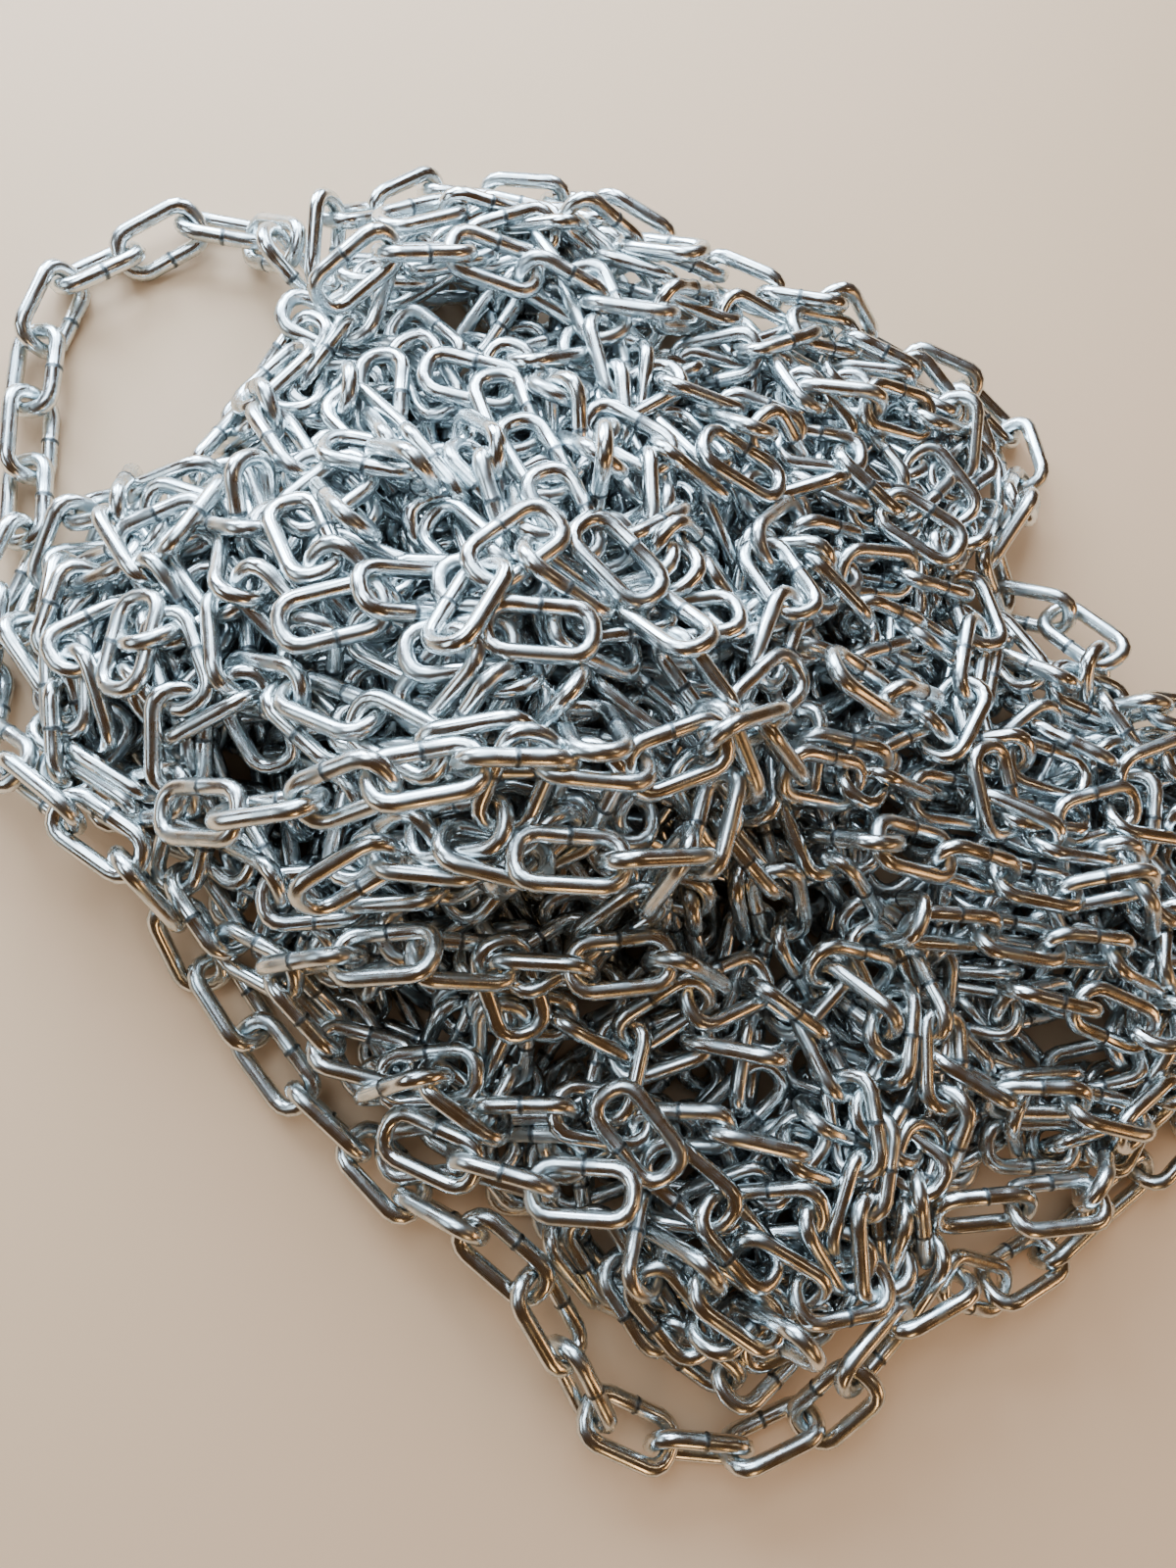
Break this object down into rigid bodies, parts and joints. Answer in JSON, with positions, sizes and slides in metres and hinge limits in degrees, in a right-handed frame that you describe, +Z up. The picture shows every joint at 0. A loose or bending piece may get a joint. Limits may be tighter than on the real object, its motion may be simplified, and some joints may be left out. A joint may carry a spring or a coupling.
{
  "type": "heap of steel chain",
  "caption": "Loose heap of bright zinc-plated, short-link welded steel chain lying on a level floor, with one loop straying out at its left.",
  "frame": {"origin": "on the floor under the middle of the heap, in the core's flat underside", "axes": "+Z up from the floor, +X to the right and +Y away as the heap is seen from its front"},
  "size_m": [0.513, 0.4936, 0.1211],
  "materials": {
    "zinc_steel": "bright zinc-plated",
    "hidden_steel": "zinc-plated, in shade"
  },
  "bodies": {
    "root": {"back_hollow_run": "zinc_steel", "back_right_slope_run": "zinc_steel", "back_slope_run_a": "zinc_steel", "back_slope_run_b": "zinc_steel", "brow_run_a": "zinc_steel", "brow_run_b": "zinc_steel", "crown_run": "zinc_steel", "far_right_lobe_run_a": "zinc_steel", "far_right_lobe_run_b": "zinc_steel", "far_rim_run": "zinc_steel", "front_apron_run_a": "zinc_steel", "front_apron_run_b": "zinc_steel", "front_face_run_a": "zinc_steel", "front_face_run_b": "zinc_steel", "front_hollow_run": "zinc_steel", "front_left_apron_run": "zinc_steel", "front_left_rim_run_a": "zinc_steel", "front_left_rim_run_b": "zinc_steel", "front_right_apron_run_a": "zinc_steel", "front_right_apron_run_b": "zinc_steel", "front_right_hollow_run": "zinc_steel", "front_right_rim_run_a": "zinc_steel", "front_right_rim_run_b": "zinc_steel", "front_step_run": "zinc_steel", "front_tongue_run_a": "zinc_steel", "front_tongue_run_b": "zinc_steel", "heap_core": "hidden_steel", "left_hollow_run": "zinc_steel", "left_loop_run_a": "zinc_steel", "left_loop_run_b": "zinc_steel", "left_loop_run_c": "zinc_steel", "left_rim_run": "zinc_steel", "left_slope_run": "zinc_steel", "right_apron_run_a": "zinc_steel", "right_apron_run_b": "zinc_steel", "right_back_slope_run": "zinc_steel", "right_hollow_run_a": "zinc_steel", "right_hollow_run_b": "zinc_steel", "right_low_apron_run": "zinc_steel", "right_notch_run": "zinc_steel", "right_rim_run": "zinc_steel", "right_shoulder_run_a": "zinc_steel", "right_shoulder_run_b": "zinc_steel", "right_slope_run": "zinc_steel", "right_step_run": "zinc_steel", "summit_left_hollow_run": "zinc_steel", "summit_left_run": "zinc_steel", "summit_middle_run": "zinc_steel", "summit_right_hollow_run": "zinc_steel", "summit_right_run": "zinc_steel", "tongue_middle_run": "zinc_steel"}
  },
  "joints": []
}
